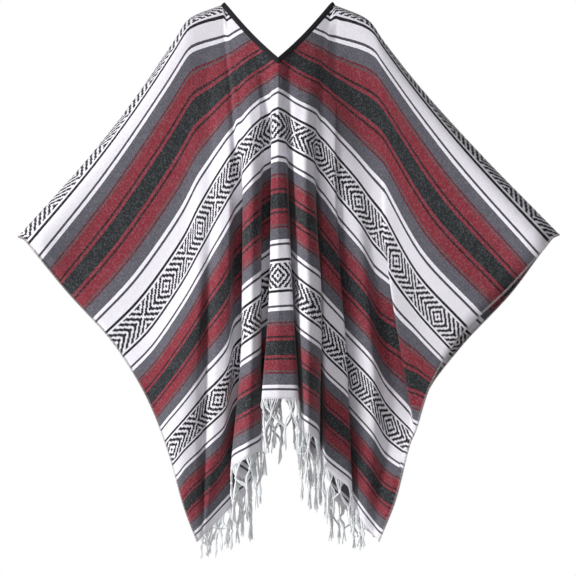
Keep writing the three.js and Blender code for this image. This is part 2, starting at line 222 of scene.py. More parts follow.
# A row for each fold, from the middle of the cloth to its side edge: its name, where it starts
# (minus the distance down the slit, or plus the distance along the shoulder line), and stations
# down it. A front station is v, u, x, y, z: v and u are distances in the flat cloth from the
# shoulder line and from the middle. A back station has no u: it is measured along the fold line.
FRONT_LEFT = [
    ("middle", -.180, [(.304, 0, 0, -.118, -.237), (.607, 0, 0, -.162, -.539), (.867, 0, 0, -.198, -.785)]),
    ("pleat edge", -.168, [(.304, .016, -.012, -.112, -.243), (.607, .027, -.016, -.150, -.542),
        (.867, .034, -.032, -.188, -.786)]),
    ("groove", -.150, [(.304, .030, -.014, -.098, -.247), (.607, .062, -.008, -.114, -.552),
        (.867, .080, .006, -.126, -.800)]),
    ("groove back", -.130, [(.304, .052, -.028, -.097, -.255), (.607, .120, -.046, -.112, -.585),
        (.867, .175, -.052, -.118, -.846)]),
    ("tube edge", -.100, [(.304, .064, -.034, -.110, -.258), (.607, .165, -.034, -.138, -.610),
        (.867, .243, -.034, -.158, -.882)]),
    ("tube crest", -.062, [(.304, .095, -.052, -.122, -.276), (.607, .206, -.052, -.170, -.627),
        (.867, .292, -.062, -.206, -.903)]),
    ("tube edge", -.025, [(.304, .128, -.070, -.114, -.299), (.607, .245, -.072, -.140, -.645),
        (.867, .342, -.094, -.168, -.926)]),
    ("deep valley", -.010, [(.304, .146, -.076, -.104, -.308), (.607, .305, -.050, -.098, -.676),
        (.867, .440, -.054, -.092, -.962)]),
    ("shaded face", .002, [(.304, .165, -.086, -.106, -.325), (.607, .388, -.090, -.120, -.722),
        (.867, .550, -.090, -.140, -.998)]),
    ("second crest", .008, [(.304, .184, -.098, -.118, -.343), (.607, .440, -.103, -.152, -.766),
        (.867, .612, -.142, -.170, -1.050)]),
    ("second face", .018, [(.304, .225, -.115, -.118, -.372), (.607, .478, -.127, -.158, -.794),
        (.867, .622, -.147, -.175, -1.055)]),
    ("soft valley", .032, [(.304, .268, -.134, -.107, -.405), (.607, .518, -.150, -.142, -.816),
        (.867, .627, -.151, -.177, -1.060)]),
    ("soft crest", .072, [(.304, .330, -.158, -.112, -.449), (.607, .548, -.164, -.164, -.832),
        (.867, .630, -.154, -.180, -1.064)]),
    ("sleeve", .190, [(.304, .402, -.184, -.108, -.500), (.607, .590, -.190, -.172, -.861),
        (.867, .632, -.157, -.182, -1.067)]),
    ("sleeve", .420, [(.304, .558, -.269, -.108, -.622), (.607, .618, -.208, -.170, -.882),
        (.867, .634, -.160, -.183, -1.069)]),
    ("side edge", .635, [(.152, .635, -.424, -.100, -.570), (.304, .635, -.327, -.112, -.678),
        (.455, .635, -.260, -.140, -.788), (.607, .635, -.218, -.160, -.894),
        (.759, .635, -.187, -.174, -1.004), (.867, .635, -.162, -.184, -1.070)]),
]
FRONT_RIGHT = [
    ("middle", -.180, [(.304, 0, 0, -.118, -.237), (.607, 0, 0, -.162, -.539), (.867, 0, 0, -.198, -.785)]),
    ("pleat edge", -.168, [(.304, .014, .011, -.112, -.241), (.607, .040, .026, -.152, -.538),
        (.867, .044, .038, -.188, -.786)]),
    ("groove", -.148, [(.304, .034, .020, -.098, -.247), (.607, .095, .028, -.112, -.556),
        (.867, .120, .046, -.126, -.808)]),
    ("fold edge", -.118, [(.304, .068, .034, -.112, -.257), (.607, .156, .036, -.136, -.571),
        (.867, .215, .048, -.156, -.840)]),
    ("fold crest", -.080, [(.304, .092, .052, -.124, -.267), (.607, .198, .060, -.176, -.592),
        (.867, .262, .060, -.206, -.852)]),
    ("fold edge", -.042, [(.304, .120, .069, -.114, -.277), (.607, .236, .087, -.142, -.616),
        (.867, .300, .080, -.166, -.870)]),
    ("deep valley", -.022, [(.304, .140, .076, -.101, -.284), (.607, .280, .082, -.102, -.636),
        (.867, .372, .086, -.096, -.896)]),
    ("shaded crest", -.006, [(.304, .158, .088, -.108, -.300), (.607, .325, .095, -.140, -.662),
        (.867, .455, .096, -.158, -.924)]),
    ("shaded edge", .006, [(.304, .218, .113, -.112, -.332), (.607, .402, .137, -.130, -.708),
        (.867, .540, .148, -.146, -.970)]),
    ("valley", .014, [(.304, .225, .118, -.104, -.340), (.607, .418, .134, -.106, -.722),
        (.867, .560, .146, -.118, -.986)]),
    ("wide face", .032, [(.304, .300, .161, -.108, -.392), (.607, .550, .190, -.146, -.786),
        (.867, .640, .172, -.158, -1.034)]),
    ("soft valley", .060, [(.304, .345, .185, -.106, -.428), (.607, .610, .216, -.126, -.830),
        (.867, .662, .190, -.160, -1.056)]),
    ("under the lap", .092, [(.304, .402, .212, -.110, -.464), (.455, .575, .262, -.116, -.690),
        (.560, .676, .266, -.128, -.836), (.607, .677, .258, -.136, -.868),
        (.867, .678, .198, -.170, -1.066)]),
    ("lap edge", .120, [(.304, .413, .217, -.122, -.476), (.455, .620, .254, -.158, -.738),
        (.560, .678, .272, -.146, -.846), (.607, .678, .261, -.142, -.870),
        (.867, .678, .200, -.171, -1.068)]),
    ("sleeve", .400, [(.304, .534, .274, -.136, -.570), (.455, .650, .280, -.160, -.752),
        (.560, .679, .273, -.147, -.848), (.607, .679, .263, -.143, -.872),
        (.867, .679, .201, -.172, -1.069)]),
    ("side edge", .680, [(.152, .680, .466, -.158, -.560), (.304, .680, .360, -.158, -.666),
        (.455, .680, .302, -.162, -.766), (.560, .680, .275, -.148, -.850),
        (.607, .680, .265, -.144, -.873), (.759, .680, .235, -.160, -.988),
        (.867, .680, .202, -.173, -1.070)]),
]
BACK_LEFT = [
    ("middle", -.180, [(.304, 0, .112, -.240), (.607, 0, .142, -.540), (.867, 0, .164, -.784)]),
    ("pleat edge", -.162, [(.304, -.026, .106, -.247), (.607, -.036, .132, -.550),
        (.867, -.034, .152, -.794)]),
    ("groove", -.140, [(.304, -.044, .093, -.262), (.607, -.032, .094, -.582), (.867, -.052, .090, -.836)]),
    ("fold edge", -.104, [(.304, -.058, .104, -.280), (.607, -.050, .116, -.622),
        (.867, -.050, .116, -.886)]),
    ("fold crest", -.060, [(.304, -.080, .118, -.305), (.607, -.080, .152, -.655),
        (.867, -.072, .174, -.925)]),
    ("fold edge", -.024, [(.304, -.100, .110, -.330), (.607, -.108, .128, -.694),
        (.867, -.102, .140, -.955)]),
    ("deep valley", -.006, [(.304, -.114, .097, -.356), (.607, -.104, .091, -.735),
        (.867, -.092, .086, -.990)]),
    ("shaded face", .010, [(.304, -.130, .101, -.385), (.607, -.128, .112, -.772),
        (.867, -.116, .118, -1.020)]),
    ("second crest", .038, [(.304, -.148, .112, -.425), (.607, -.150, .140, -.810),
        (.867, -.136, .152, -1.042)]),
    ("soft valley", .090, [(.304, -.172, .102, -.470), (.607, -.174, .122, -.842),
        (.867, -.147, .142, -1.054)]),
    ("sleeve", .240, [(.304, -.212, .084, -.535), (.607, -.194, .128, -.866), (.867, -.153, .141, -1.061)]),
    ("sleeve", .430, [(.304, -.266, .052, -.616), (.607, -.206, .118, -.880), (.867, -.156, .140, -1.065)]),
    ("side edge", .635, [(.152, -.420, -.030, -.564), (.304, -.318, .026, -.672),
        (.455, -.254, .072, -.782), (.607, -.214, .104, -.888), (.759, -.183, .128, -.998),
        (.867, -.158, .140, -1.066)]),
]
BACK_RIGHT = [
    ("middle", -.180, [(.304, 0, .112, -.240), (.607, 0, .142, -.540), (.867, 0, .164, -.784)]),
    ("pleat edge", -.166, [(.304, .020, .107, -.245), (.607, .032, .134, -.546),
        (.867, .036, .154, -.790)]),
    ("groove", -.142, [(.304, .036, .094, -.256), (.607, .026, .096, -.574), (.867, .054, .094, -.826)]),
    ("fold edge", -.112, [(.304, .050, .105, -.270), (.607, .046, .116, -.610), (.867, .052, .116, -.870)]),
    ("fold crest", -.066, [(.304, .074, .120, -.294), (.607, .076, .156, -.640),
        (.867, .074, .178, -.906)]),
    ("fold edge", -.030, [(.304, .098, .110, -.322), (.607, .112, .126, -.682), (.867, .112, .138, -.944)]),
    ("deep valley", -.008, [(.304, .110, .098, -.342), (.607, .108, .090, -.716),
        (.867, .104, .082, -.976)]),
    ("shaded face", .012, [(.304, .132, .101, -.374), (.607, .142, .110, -.760),
        (.867, .134, .116, -1.008)]),
    ("second crest", .044, [(.304, .158, .112, -.418), (.607, .172, .142, -.800),
        (.867, .160, .150, -1.034)]),
    ("soft valley", .096, [(.304, .190, .098, -.466), (.607, .206, .118, -.836),
        (.867, .178, .138, -1.052)]),
    ("sleeve", .260, [(.304, .236, .072, -.540), (.607, .236, .112, -.858), (.867, .188, .136, -1.060)]),
    ("sleeve", .460, [(.304, .304, .030, -.624), (.607, .250, .100, -.872), (.867, .192, .134, -1.064)]),
    ("side edge", .680, [(.152, .468, -.086, -.572), (.304, .368, -.026, -.680), (.455, .300, .034, -.772),
        (.607, .256, .086, -.880), (.759, .222, .118, -.992), (.867, .194, .134, -1.066)]),
]


def smooth_curve(knots, values):
    """A curve through points, each on its own knot, that never swings past them."""
    knots = np.asarray(knots, float)
    values = np.asarray(values, float)
    rise = np.diff(values, axis=0) / np.diff(knots)[:, None]
    product = rise[:-1] * rise[1:]
    total = rise[:-1] + rise[1:]
    inner = np.where(product > 0, 2 * product / np.where(total == 0, 1, total), 0)
    slopes = np.vstack([rise[:1], inner, rise[-1:]])

    def curve(at):
        at = np.asarray(at, float)
        i = np.clip(np.searchsorted(knots, at) - 1, 0, len(knots) - 2)
        width = (knots[i + 1] - knots[i])[:, None]
        t = (at - knots[i])[:, None] / width
        return ((2 * t**3 - 3 * t**2 + 1) * values[i] + (t**3 - 2 * t**2 + t) * width * slopes[i]
                + (3 * t**2 - 2 * t**3) * values[i + 1] + (t**3 - t**2) * width * slopes[i + 1])

    return curve


def shoulder_point(side, u):
    line = np.array(SHOULDER_LINE[side])
    return smooth_curve(line[:, 0], line[:, 1:])(u)


def slit_point(face, side, v):
    neck = shoulder_point(side, [0.0])[0]
    share = np.asarray(v, float)[:, None] / SLIT
    points = neck + (np.array(SLIT_END[face]) - neck) * share
    points[:, 2] -= np.sin(share[:, 0] * math.pi) * SLIT_SAG
    return points


def top_points(face, side, tops):
    """Where columns start: down the slit where top is negative, along the shoulder line elsewhere."""
    tops = np.asarray(tops, float)
    on_line = shoulder_point(side, np.clip(tops, 0, None))
    on_slit = slit_point(face, side, np.clip(-tops, 0, SLIT))
    return np.where((tops < 0)[:, None], on_slit, on_line)


def fold_line(face, side, row, shares):
    """Points u, v, x, y, z down one fold, shares running 0 to 1 from its top to the hem."""
    out = -1 if face == "front" else 1
    name, top, stations = row
    place = top_points(face, side, [top])[0]
    start = max(-top, 0.0)
    knots = [start]
    points = [(max(top, 0.0), *place)]
    if top >= 0:
        first = stations[0]
        spread = (first[2] - place[0]) / first[0]
        lean = (first[1] - top) / first[0]
        along = min(1.0, top / FULL_ROUNDING_AT)
        out_share = NECK_OUT + (1 - NECK_OUT) * along
        drop_share = NECK_DROP + (1 - NECK_DROP) * along
        for down, reach, drop in ARM_BEND:
            v = down * ARM_HALF_WIDTH
            knots.append(v)
            points.append((top + lean * v, place[0] + spread * v,
                           place[1] + out * out_share * reach * ARM_HALF_WIDTH,
                           place[2] - drop_share * drop * ARM_HALF_WIDTH))
    for v, u, x, y, z in stations:
        knots.append(v)
        points.append((u, x, y, z))
    v = start + np.asarray(shares) * (HALF_LENGTH - start)
    line = smooth_curve(knots, points)(v)
    return np.column_stack([line[:, 0], v, line[:, 1:]])


LEVELS = [0.304, 0.607, 0.867]      # where every back row has a station


def with_measured_u(rows, side):
    """Back rows with the u of each station measured along the fold lines' own level."""
    levels = [[station for station in row[2] if station[0] in LEVELS] for row in rows]
    places = np.array(levels)[:, :, 1:]
    steps = np.linalg.norm(np.diff(places, axis=0), axis=2)
    run = np.vstack([np.zeros(steps.shape[1]), np.cumsum(steps, axis=0)])
    run *= HALF_WIDTH[side] / run[-1]
    measured = []
    for index, (name, top, stations) in enumerate(rows):
        on_edge = index == len(rows) - 1
        placed = []
        for station in stations:
            level = LEVELS.index(station[0]) if not on_edge else 0
            u = HALF_WIDTH[side] if on_edge else run[index, level]
            placed.append((station[0], u, *station[1:]))
        measured.append((name, top, placed))
    return measured


FOLDS = {
    "front": {"left": FRONT_LEFT, "right": FRONT_RIGHT},
    "back": {"left": with_measured_u(BACK_LEFT, "left"), "right": with_measured_u(BACK_RIGHT, "right")},
}
STEPS_PER_FOLD = 7
STEPS_DOWN = 92
JOIN_FADE = 0.2             # the share of the length over which a column's top is drawn to its place


def half_panel(face, side):
    """A grid of u, v, x, y, z: one column for each step across the folds, one row for each down."""
    rows = FOLDS[face][side]
    lead = FOLDS["front"][side]
    tops = np.array([row[1] for row in rows])
    lead_tops = np.array([row[1] for row in lead])
    lead_steps = np.arange((len(lead) - 1) * STEPS_PER_FOLD + 1) / STEPS_PER_FOLD
    wanted = smooth_curve(np.arange(len(lead)), lead_tops[:, None])(lead_steps)[:, 0]
    if face == "front":
        at = lead_steps
    else:
        finer = np.linspace(0, len(rows) - 1, 2000)
        reached = smooth_curve(np.arange(len(rows)), tops[:, None])(finer)[:, 0]
        at = np.interp(wanted, reached, finer)
    shares = np.linspace(0, 1, STEPS_DOWN + 1)
    lines = np.stack([fold_line(face, side, row, shares) for row in rows])
    across = smooth_curve(np.arange(len(rows)), lines.reshape(len(rows), -1))(at)
    grid = across.reshape(len(at), STEPS_DOWN + 1, 5)
    # the tops lie exactly on the slit and the shoulder line, so that front and back meet
    exact = np.column_stack([np.clip(wanted, 0, None), np.clip(-wanted, 0, None),
                             top_points(face, side, wanted)])
    fade = np.clip(1 - shares / JOIN_FADE, 0, 1)[None, :, None] ** 2
    grid += (exact - grid[:, 0])[:, None, :] * fade
    return grid


def panel(face):
    """Both halves of a panel side by side, from the left side edge to the right one, with u signed."""
    left = half_panel(face, "left")[::-1].copy()
    left[:, :, 0] *= -1
    right = half_panel(face, "right")
    grid = np.concatenate([left, right[1:]])
    if face == "back":
        grid[:, :, 1] *= -1
    return grid


front_grid = panel("front")
back_grid = panel("back")
columns, rows_down = front_grid.shape[:2]
front_index = np.arange(columns * rows_down).reshape(columns, rows_down)
back_index = front_index + columns * rows_down
on_shoulder = np.abs(front_grid[:, 0, 2]) >= abs(SHOULDER_LINE["left"][0][1]) - 1e-6
back_index[on_shoulder, 0] = front_index[on_shoulder, 0]
cloth_points = np.concatenate([front_grid.reshape(-1, 5), back_grid.reshape(-1, 5)])


def quads(index, facing_front):
    a, b = index[:-1, :-1].ravel(), index[1:, :-1].ravel()
    c, d = index[1:, 1:].ravel(), index[:-1, 1:].ravel()
    return np.column_stack([a, d, c, b] if facing_front else [a, b, c, d])


def mesh_of(name, points, faces, uv=None):
    """A mesh object from its points and faces, with u, v at each point as its UV map."""
    made = bpy.data.meshes.new(name)
    made.from_pydata(points.tolist(), [], faces.tolist() if hasattr(faces, "tolist") else faces)
    if uv is not None:
        layer = made.uv_layers.new(name="cloth")
        corners = np.zeros(len(made.loops), int)
        made.loops.foreach_get("vertex_index", corners)
        layer.data.foreach_set("uv", np.asarray(uv, np.float32)[corners].ravel())
    made.polygons.foreach_set("use_smooth", [True] * len(made.polygons))
    thing = bpy.data.objects.new(name, made)
    bpy.context.scene.collection.objects.link(thing)
    return thing


def finished(thing):
    """The object with its modifiers worked into its mesh."""
    graph = bpy.context.evaluated_depsgraph_get()
    mesh = bpy.data.meshes.new_from_object(thing.evaluated_get(graph))
    thing.modifiers.clear()
    thing.data = mesh
    return thing


all_faces = np.concatenate([quads(front_index, True), quads(back_index, False)])
used, renumbered = np.unique(all_faces, return_inverse=True)
cloth = mesh_of("cloth", cloth_points[used, 2:], renumbered.reshape(-1, 4), cloth_points[used, :2])
shell = cloth.modifiers.new("thickness", "SOLIDIFY")
shell.thickness = CLOTH
shell.offset = 0.0
finished(cloth)

# The stripes are woven across the cloth and repeat each way from the shoulder line. Distances
# are from the middle of the nearest diamond band to each stripe's far edge.
REPEAT = 0.3036
MOTIF_HALF = 0.0255
WHITES_END = 0.0730         # the white part of the repeat, which is smoother than the coloured part
STRIPES = [
    ("diamond ground", 0.0296, (222, 219, 227)),
    ("black line", 0.0345, (20, 18, 23)),
    ("white", 0.0614, (224, 221, 229)),
    ("dark grey line", 0.0664, (70, 66, 76)),
    ("white line", 0.0730, (230, 227, 235)),
    ("grey", 0.0965, (90, 89, 98)),
    ("dark red line", 0.0997, (100, 36, 48)),
    ("olive line", 0.1042, (100, 74, 76)),
    ("red", 0.1260, (128, 42, 54)),
    ("brown line", 0.1302, (46, 24, 28)),
    ("pink red line", 0.1362, (128, 46, 58)),
    ("green black", 0.1518, (33, 37, 39)),
]
weave, weave_shader, wire = new_material("striped_weave", 0.88, sheen=0.15)
weave_tree = weave.node_tree
uv_map = wire.node("ShaderNodeUVMap", {"uv_map": "cloth"})
split = wire.node("ShaderNodeSeparateXYZ", None, i0=Wire(weave_tree, uv_map.outputs[0]))
across_cloth = Wire(weave_tree, split.outputs[0])
along_cloth = Wire(weave_tree, split.outputs[1])
uv_wire = Wire(weave_tree, uv_map.outputs[0])

# yarns lie a little unevenly, so no stripe's edge is quite straight
WEFT_PITCH = 0.0016
WARP_PITCH = 0.0024
WAVER = 0.0012
uneven = wire.node("ShaderNodeTexNoise", None, Vector=uv_wire, Scale=160.0, Detail=2.0)
waver = (Wire(weave_tree, uneven.outputs[0]) - 0.5) * WAVER
down = (along_cloth + waver).absolute()
from_band = down.folded(REPEAT)
ramp = wire.node("ShaderNodeValToRGB", None, i0=from_band / (REPEAT / 2))
ramp.color_ramp.interpolation = "CONSTANT"
start = 0.0
for number, (name, end, shade) in enumerate(STRIPES):
    stop = ramp.color_ramp.elements[0] if number == 0 else ramp.color_ramp.elements.new(start)
    stop.position = start
    stop.color = colour(*shade)
    start = end / (REPEAT / 2)
ramp.color_ramp.elements.remove(ramp.color_ramp.elements[-1])
striped = Wire(weave_tree, ramp.outputs[0])

# Diamonds in the white bands: strokes at equal steps of (distance across + distance along) from
# each diamond's middle, in steps of a yarn. The second band's diamonds are shifted sideways.
DIAMOND_PERIOD = 0.156
STROKE_PITCH = 0.0142
STROKE_SHARE = 0.56
SECOND_BAND_SHIFT = 0.012
FIRST_BAND_SHIFT = 0.0003
DIAMOND_STRETCH = 1.05      # how much faster the strokes count down the cloth than across it
second = along_cloth.above(REPEAT / 2) * along_cloth.below(REPEAT * 1.5)
sideways = (across_cloth + second * SECOND_BAND_SHIFT + FIRST_BAND_SHIFT).stepped(WARP_PITCH)
offset = (sideways + WARP_PITCH / 2).absolute().folded(DIAMOND_PERIOD)
stepped_band = from_band.stepped(WEFT_PITCH * 2) + WEFT_PITCH
reach = offset + stepped_band * DIAMOND_STRETCH + STROKE_PITCH * STROKE_SHARE / 2
stroke = reach.maths("MODULO", reach, STROKE_PITCH).below(STROKE_PITCH * STROKE_SHARE)
motif = stroke * from_band.below(MOTIF_HALF)
patterned = striped.mixed(motif, colour(20, 18, 22))

# Each crossing of yarns is its own shade, which gives the heathered look close to. A crossing
# with a random number past one of these edges turns by the share named with it.
CROSSING = (0.0018, 0.0024)
PALE_FROM = 0.74
PALE_SHARE = 0.07
DARK_TO = 0.32
DARK_SHARE_IN_WHITE = 0.07
DARK_SHARE_ADDED = 0.14     # in the coloured stripes
CLOUD_SHARE = 0.05
CLOUD_MIDDLE = 0.35
cells = wire.node("ShaderNodeVectorMath", {"operation": "MULTIPLY"}, i0=uv_wire)
cells.inputs[1].default_value = (1 / CROSSING[0], 1 / CROSSING[1], 1.0)
grid_cells = wire.node("ShaderNodeVectorMath", {"operation": "FLOOR"},
                       i0=Wire(weave_tree, cells.outputs[0]))
random_cell = wire.node("ShaderNodeTexWhiteNoise", {"noise_dimensions": "2D"},
                        i0=Wire(weave_tree, grid_cells.outputs[0]))
speck = Wire(weave_tree, random_cell.outputs[0])
cloudy = wire.node("ShaderNodeTexNoise", None, Vector=uv_wire, Scale=22.0, Detail=5.0)
cloud = Wire(weave_tree, cloudy.outputs[0])
lighter = patterned.mixed(speck.above(PALE_FROM) * PALE_SHARE, colour(190, 186, 196))
in_colours = from_band.above(WHITES_END)
dark_share = in_colours * DARK_SHARE_ADDED + DARK_SHARE_IN_WHITE
heathered = lighter.mixed(speck.below(DARK_TO) * dark_share, colour(24, 26, 28))
tinted = heathered.mixed((cloud - CLOUD_MIDDLE) * CLOUD_SHARE, colour(150, 145, 152))
weave_tree.links.new(tinted.socket, weave_shader.inputs["Base Color"])

# plain weave: the warp runs down the cloth, the weft across it
warp = across_cloth.wave(WARP_PITCH)
weft = along_cloth.wave(WEFT_PITCH * 1.25)
ribs = warp * weft * 0.5 + warp * 0.35 + cloud * 0.8
bump = wire.node("ShaderNodeBump", None, Strength=0.35, Distance=0.0006, Height=ribs)
weave_tree.links.new(bump.outputs[0], weave_shader.inputs["Normal"])
cloth.data.materials.append(weave)

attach(cloth, "root")
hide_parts("front_panel", "back_panel")

# ---- the neck binding --------------------------------------------------------------------------
# A black cotton tape folded over the raw edge of the slit, with one mitre at the point in front
# and one behind, so it shows as an even band with a rounded rim.
TAPE_WIDTH = 0.0078
TAPE_THICK = 0.0034
TAPE_LAP = 0.003            # how far it reaches back over the cloth
TAPE_ROUNDING = 0.6         # one is a round section, nought a square one


def slit_loop(grid):
    open_part = ~on_shoulder
    first, last = np.flatnonzero(open_part)[[0, -1]]
    return grid[first - 1:last + 2, :2, 2:]


front_slit = slit_loop(front_grid)
back_slit = slit_loop(back_grid)[::-1]
loop = np.concatenate([front_slit[:-1], back_slit[:-1]])
edge, next_down = loop[:, 0], loop[:, 1]
along = np.roll(edge, -1, axis=0) - np.roll(edge, 1, axis=0)
along /= np.linalg.norm(along, axis=1)[:, None]
into = edge - next_down
into -= along * (into * along).sum(axis=1)[:, None]
into /= np.linalg.norm(into, axis=1)[:, None]
for corner in (0, len(front_slit) - 1):
    into[corner] = into[corner - 1] + into[(corner + 1) % len(loop)]
    into[corner] /= np.linalg.norm(into[corner])
turned = np.cross(along, into)
SECTION = 14
angles = np.linspace(0, 2 * math.pi, SECTION, endpoint=False)
round_x = np.sign(np.cos(angles)) * np.abs(np.cos(angles)) ** TAPE_ROUNDING
round_y = np.sign(np.sin(angles)) * np.abs(np.sin(angles)) ** TAPE_ROUNDING
reach_in = (round_x + 1) / 2 * (TAPE_WIDTH + TAPE_LAP) - TAPE_LAP
tape_points = (edge[:, None] + into[:, None] * reach_in[None, :, None]
               + turned[:, None] * (round_y * TAPE_THICK / 2)[None, :, None])
count = len(loop)
ring = np.arange(count * SECTION).reshape(count, SECTION)
after = np.roll(ring, -1, axis=0)
tape_faces = np.stack([ring, np.roll(ring, -1, axis=1), np.roll(after, -1, axis=1), after], axis=2)
tape_u = np.repeat(np.cumsum(np.linalg.norm(edge - np.roll(edge, 1, axis=0), axis=1)), SECTION)
tape_uv = np.column_stack([tape_u, np.tile(reach_in, count)])
binding = mesh_of("neck_tape", tape_points.reshape(-1, 3), tape_faces.reshape(-1, 4), tape_uv)

tape_cloth, tape_shader, tape_wire = new_material("black_tape", 0.75, sheen=0.1)
tape_map = tape_wire.node("ShaderNodeUVMap", {"uv_map": "cloth"})
tape_split = tape_wire.node("ShaderNodeSeparateXYZ", None,
                            i0=Wire(tape_cloth.node_tree, tape_map.outputs[0]))
tape_ribs = Wire(tape_cloth.node_tree, tape_split.outputs[0]).wave(0.0011)
tape_noise = tape_wire.node("ShaderNodeTexNoise", None, Scale=300.0, Detail=3.0)
faded = Wire(tape_cloth.node_tree, tape_noise.outputs[0])
black = tape_wire.node("ShaderNodeRGB")
black.outputs[0].default_value = colour(17, 16, 20)
tape_shade = Wire(tape_cloth.node_tree, black.outputs[0]).mixed(faded * 0.4, colour(46, 44, 50))
tape_cloth.node_tree.links.new(tape_shade.socket, tape_shader.inputs["Base Color"])
tape_bump = tape_wire.node("ShaderNodeBump", None, Strength=0.5, Distance=0.0004, Height=tape_ribs)
tape_cloth.node_tree.links.new(tape_bump.outputs[0], tape_shader.inputs["Normal"])
binding.data.materials.append(tape_cloth)

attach(binding, "root")
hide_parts("neck_binding")

# ---- the overlocked side edges -----------------------------------------------------------------
# Both side edges, front and back, are overlocked in pale grey yarn: close loops round the raw
# edge. They are one row of stitches from hem to hem on each side.
STITCH_PITCH = 0.0030
STITCH_REACH = 0.0021       # half the loop's width, round the edge
STITCH_YARN = 0.0006
STITCH_INSET = 0.55         # the loop's middle, as a share of its reach, in from the raw edge
STITCH_TILT = 0.3


def node_group(name, inputs):
    """A Geometry Nodes tree with its named inputs, and wires to its group input and output."""
    tree = bpy.data.node_groups.new(name, "GeometryNodeTree")
    tree.interface.new_socket("Geometry", in_out="INPUT", socket_type="NodeSocketGeometry")
    for label, value in inputs.items():
        socket = tree.interface.new_socket(label, in_out="INPUT", socket_type="NodeSocketFloat")
        socket.default_value = value
    tree.interface.new_socket("Geometry", in_out="OUTPUT", socket_type="NodeSocketGeometry")
    entry = tree.nodes.new("NodeGroupInput")
    leave = tree.nodes.new("NodeGroupOutput")
    return tree, {socket.name: Wire(tree, socket) for socket in entry.outputs if socket.name}, leave


def grown(thing, tree, sizes):
    """The object after its Geometry Nodes tree, with the tree's inputs set, as a plain mesh."""
    modifier = thing.modifiers.new(tree.name, "NODES")
    modifier.node_group = tree
    for item in tree.interface.items_tree:
        if item.in_out == "INPUT" and item.name in sizes:
            modifier[item.identifier] = sizes[item.name]
    return finished(thing)


def out(node, name=0):
    return Wire(node.id_data, node.outputs[name])


overlock, overlock_shader, overlock_wire = new_material("overlock_yarn", 0.9, sheen=0.2)
overlock_noise = overlock_wire.node("ShaderNodeTexNoise", None, Scale=420.0, Detail=2.0)
pale_yarn = overlock_wire.node("ShaderNodeRGB")
pale_yarn.outputs[0].default_value = colour(206, 200, 198)
overlock_shade = out(pale_yarn).mixed(out(overlock_noise) * 0.75, colour(120, 112, 116))
overlock.node_tree.links.new(overlock_shade.socket, overlock_shader.inputs["Base Color"])

STITCH_SIZES = {"Pitch": STITCH_PITCH, "Reach": STITCH_REACH, "Yarn": STITCH_YARN}
tree, entry, leave = node_group("overlock_stitches", STITCH_SIZES)
path = entry["Geometry"].node("GeometryNodeMeshToCurve", None, Mesh=entry["Geometry"])
spaced = entry["Geometry"].node("GeometryNodeResampleCurve", {"mode": "LENGTH"}, Curve=out(path),
                                Length=entry["Pitch"])
spots = entry["Geometry"].node("GeometryNodeCurveToPoints", {"mode": "EVALUATED"}, Curve=out(spaced))
ring_path = entry["Geometry"].node("GeometryNodeCurvePrimitiveCircle", {"mode": "RADIUS"}, Resolution=9,
                                   Radius=entry["Reach"])
yarn_section = entry["Geometry"].node("GeometryNodeCurvePrimitiveCircle", {"mode": "RADIUS"}, Resolution=4,
                                      Radius=entry["Yarn"])
stitch = entry["Geometry"].node("GeometryNodeCurveToMesh", None, Curve=out(ring_path),
                                Profile_Curve=out(yarn_section))
tilt = entry["Geometry"].node("FunctionNodeRandomValue", {"data_type": "FLOAT"}, i2=-STITCH_TILT,
                              i3=STITCH_TILT, ID=0, Seed=5)
tip = entry["Geometry"].node("ShaderNodeCombineXYZ", None, X=out(tilt, 1), Y=0.0, Z=0.0)
leaned = entry["Geometry"].node("FunctionNodeRotateRotation", {"rotation_space": "LOCAL"},
                                Rotation=out(spots, "Rotation"), Rotate_By=out(tip))
loops = entry["Geometry"].node("GeometryNodeInstanceOnPoints", None, Points=out(spots, "Points"),
                               Instance=out(stitch), Rotation=out(leaned))
real = entry["Geometry"].node("GeometryNodeRealizeInstances", None, Geometry=out(loops))
dressed = entry["Geometry"].node("GeometryNodeSetMaterial", None, Geometry=out(real), Material=overlock)
tree.links.new(dressed.outputs[0], leave.inputs[0])

edge_points = []
edge_links = []
for column, inner in ((0, 1), (-1, -2)):
    whole = np.concatenate([back_grid[column, ::-1, 2:], front_grid[column, 1:, 2:]])
    beside = np.concatenate([back_grid[inner, ::-1, 2:], front_grid[inner, 1:, 2:]])
    inward = (beside - whole) / np.linalg.norm(beside - whole, axis=1)[:, None]
    start_at = len(edge_points)
    edge_points += (whole + inward * STITCH_REACH * STITCH_INSET).tolist()
    edge_links += [(i, i + 1) for i in range(start_at, len(edge_points) - 1)]
edge_mesh = bpy.data.meshes.new("side_stitches")
edge_mesh.from_pydata(edge_points, edge_links, [])
stitches = bpy.data.objects.new("side_stitches", edge_mesh)
bpy.context.scene.collection.objects.link(stitches)
grown(stitches, tree, STITCH_SIZES)
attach(stitches, "root")

# ---- the fringe --------------------------------------------------------------------------------
# The warp ends below each hem, in white yarn: drawn into bundles and tied to their neighbours in a
# loose net, then left as short tails under the last knots. It hangs straight down from the hem.
BUNDLE_PITCH = 0.0340
YARNS = 8
YARN_WIDTH = 0.0022
FIRST_KNOT = 0.030
SECOND_KNOT = 0.066
TAIL = 0.038
CORNER_SHARE = 0.45         # the fringe is worn shorter towards the corners of the cloth
KNOT_WIDTH = 0.0070
CORNER_START = 0.6          # where it starts to shorten, as a share of the way to the corner
CORNER_RUN = 0.35
LEAN_OUT = 0.004            # how far the second knots hang out from under the hem
YARN_WOBBLE = 0.0016
TAIL_STRAY = 0.0035
random = np.random.default_rng(17)

